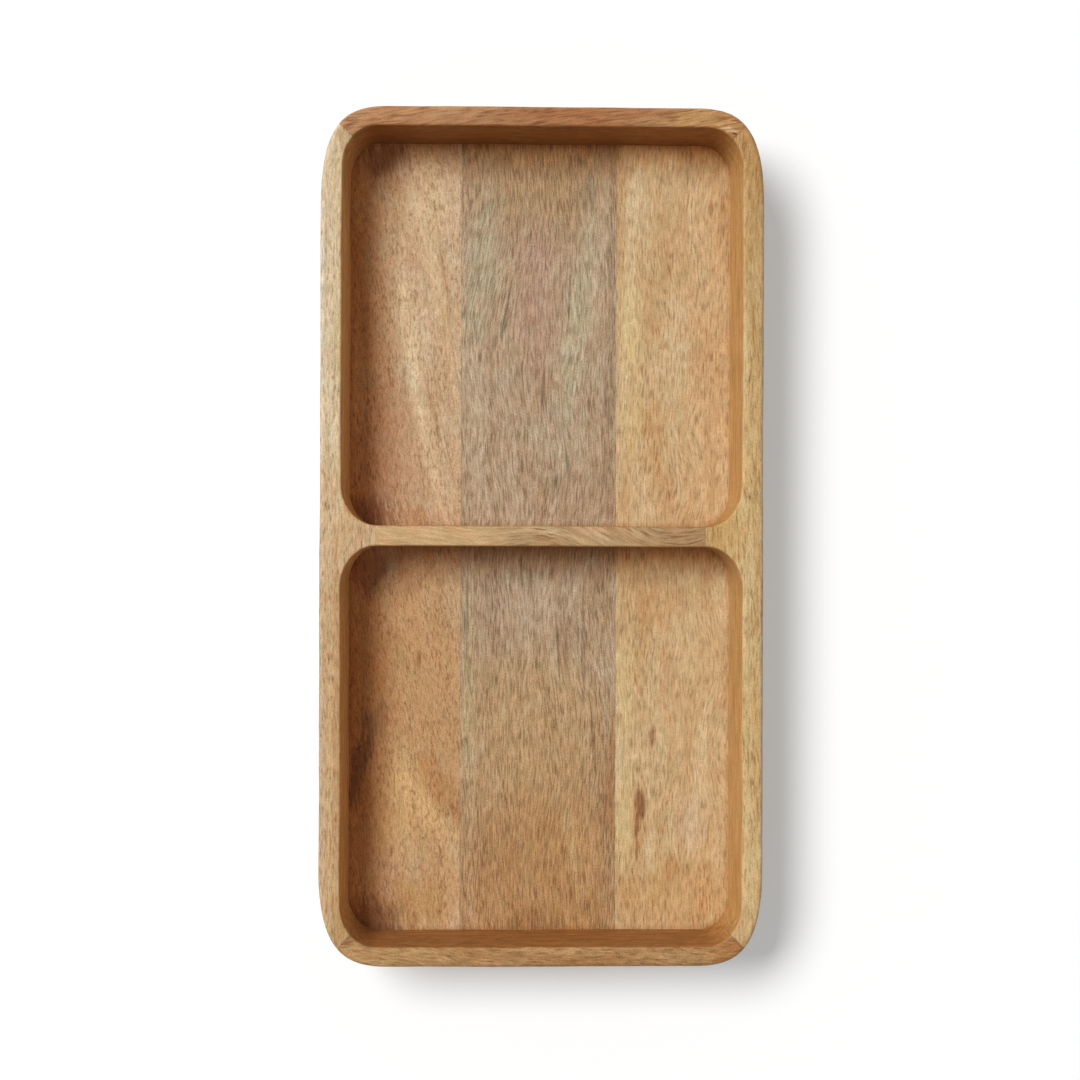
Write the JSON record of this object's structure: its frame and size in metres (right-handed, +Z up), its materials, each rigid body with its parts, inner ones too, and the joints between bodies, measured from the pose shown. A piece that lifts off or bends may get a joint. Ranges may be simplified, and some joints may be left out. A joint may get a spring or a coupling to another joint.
{
  "type": "compartment tray",
  "caption": "Shallow rectangular wooden tray with rounded corners, mitred rails, a cross divider between its compartments and a floor glued up from boards.",
  "frame": {"origin": "centre of the footprint, on the surface that the tray stands on", "axes": "+Y along the tray's length from the front compartment to the rear one, +X across it to the right, +Z up out of the compartments"},
  "size_m": [0.155, 0.3, 0.03],
  "materials": {
    "left_rail_wood": "pale straw hardwood with short pores, satin oil",
    "right_rail_wood": "golden hardwood with short pores, satin oil",
    "rear_rail_wood": "reddish brown hardwood, satin oil",
    "front_rail_wood": "tan hardwood with wavy dark streaks, satin oil",
    "divider_wood": "light brown hardwood with slanting grain, satin oil",
    "base_board_left_wood": "warm tan hardwood with fine pores, satin oil",
    "base_board_centre_wood": "grey brown hardwood with long pore lines, satin oil",
    "base_board_right_wood": "golden tan hardwood with small brown flecks, satin oil"
  },
  "bodies": {
    "root": {"left_rail": "left_rail_wood", "right_rail": "right_rail_wood", "rear_rail": "rear_rail_wood", "front_rail": "front_rail_wood", "divider": "divider_wood", "base_board_left": "base_board_left_wood", "base_board_centre": "base_board_centre_wood", "base_board_right": "base_board_right_wood"}
  },
  "joints": []
}
